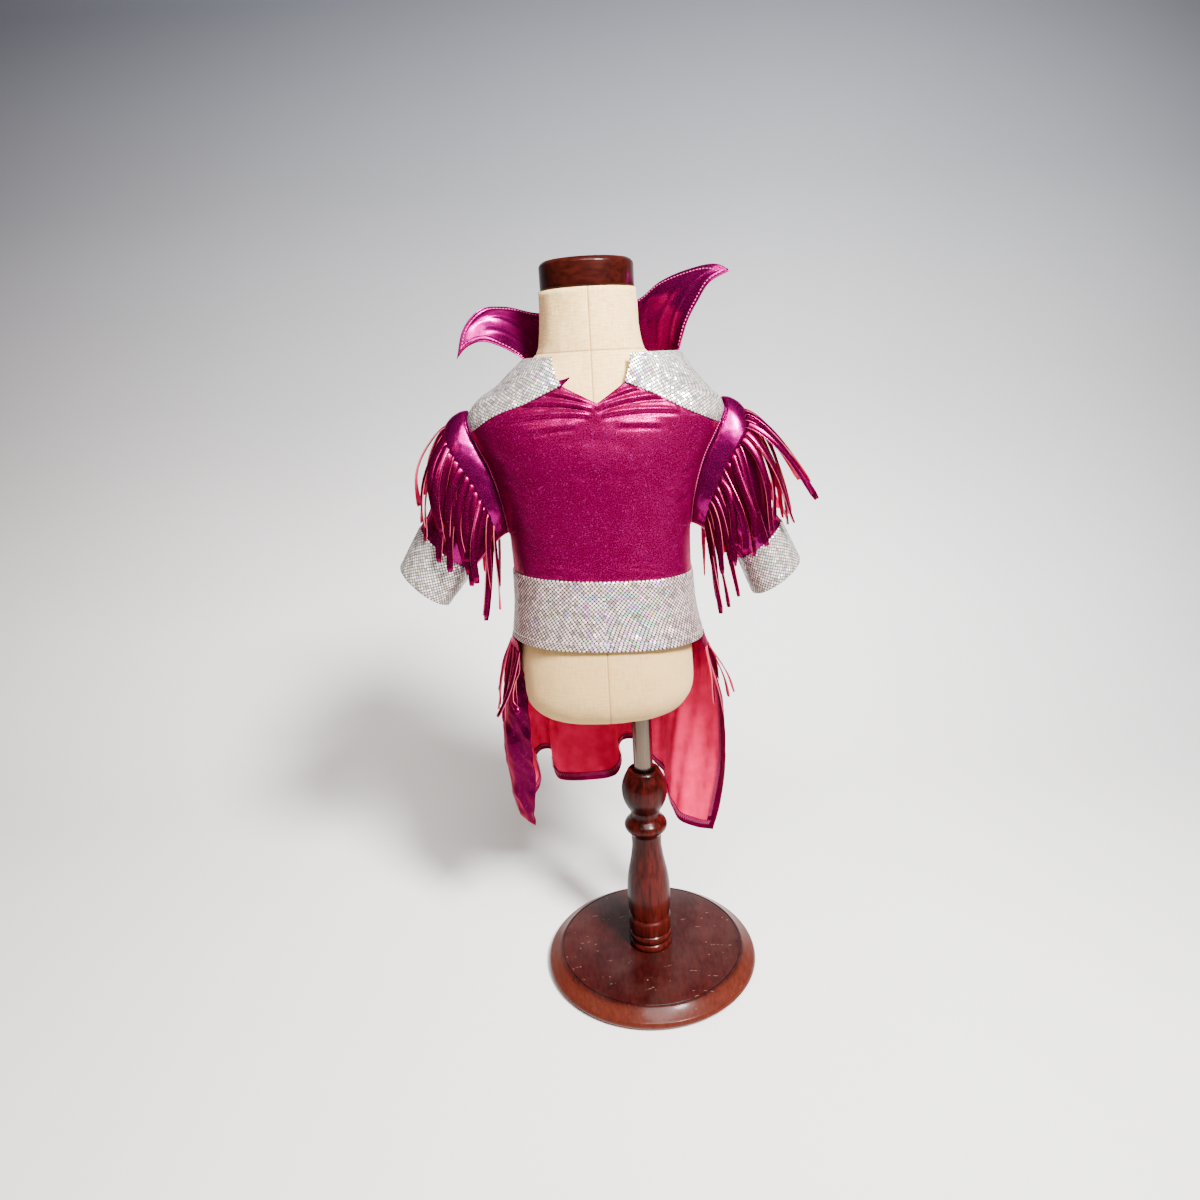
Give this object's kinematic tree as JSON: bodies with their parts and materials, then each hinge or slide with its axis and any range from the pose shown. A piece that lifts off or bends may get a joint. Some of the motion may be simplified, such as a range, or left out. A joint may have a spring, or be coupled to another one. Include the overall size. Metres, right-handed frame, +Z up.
{
  "type": "dog dress on a limbless dress form with stand",
  "caption": "Show dress for a small dog with flared sleeves, wing collar, fringe and open tail skirt, shown on a limbless cloth form on a turned wooden stand.",
  "frame": {"origin": "on the floor at the centre of the stand's round foot, under the pole", "axes": "+Z up along the pole, the dress's belly side faces -Y, +X is to the right as seen from the front"},
  "size_m": [0.419, 0.247, 0.79],
  "materials": {
    "magenta_foil": "foil-printed stretch jersey, sparkling satin",
    "silver_foil": "holographic dot foil on stretch jersey",
    "linen": "plain weave, matt",
    "mahogany": "dark red-brown, glossy varnish",
    "chrome": "satin"
  },
  "bodies": {
    "root": {"stand_base": "mahogany", "stand_column": "mahogany", "stand_pole": "chrome", "form_body": "linen", "form_cap": "mahogany", "belly_panel": "magenta_foil", "back_panel": "magenta_foil", "yoke_left": "silver_foil", "yoke_right": "silver_foil", "collar_left": "magenta_foil", "collar_right": "magenta_foil", "sleeve_left": "magenta_foil", "sleeve_right": "magenta_foil", "cuff_left": "silver_foil", "cuff_right": "silver_foil", "sleeve_fringe_left": "magenta_foil", "sleeve_fringe_right": "magenta_foil", "waistband": "silver_foil", "skirt_left": "magenta_foil", "skirt_right": "magenta_foil", "waist_fringe": "magenta_foil"}
  },
  "joints": []
}
